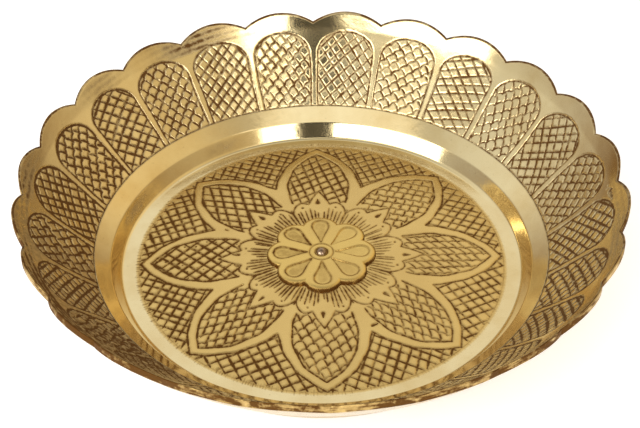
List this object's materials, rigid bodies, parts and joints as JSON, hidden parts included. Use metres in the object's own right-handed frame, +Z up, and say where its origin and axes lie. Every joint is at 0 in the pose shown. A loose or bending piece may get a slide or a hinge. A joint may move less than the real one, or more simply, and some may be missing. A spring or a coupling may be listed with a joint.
{
  "type": "brass tray",
  "caption": "Round flared brass tray with a scalloped rim, an engraved floor and wall and a raised rosette in the middle, for serving or holding small things.",
  "frame": {"origin": "centre of the flat ring under the floor that the tray stands on", "axes": "+Z up along the tray's axis; +Y along one petal of the floor, one wall rib and one rim notch"},
  "size_m": [0.2024, 0.2024, 0.0379],
  "materials": {
    "dish_brass": "polished, with dark patina left in the engraving",
    "rosette_brass": "satin",
    "rivet_metal": "worn, polished dome"
  },
  "bodies": {
    "root": {"dish": "dish_brass", "rosette": "rosette_brass", "centre_rivet": "rivet_metal"}
  },
  "joints": []
}
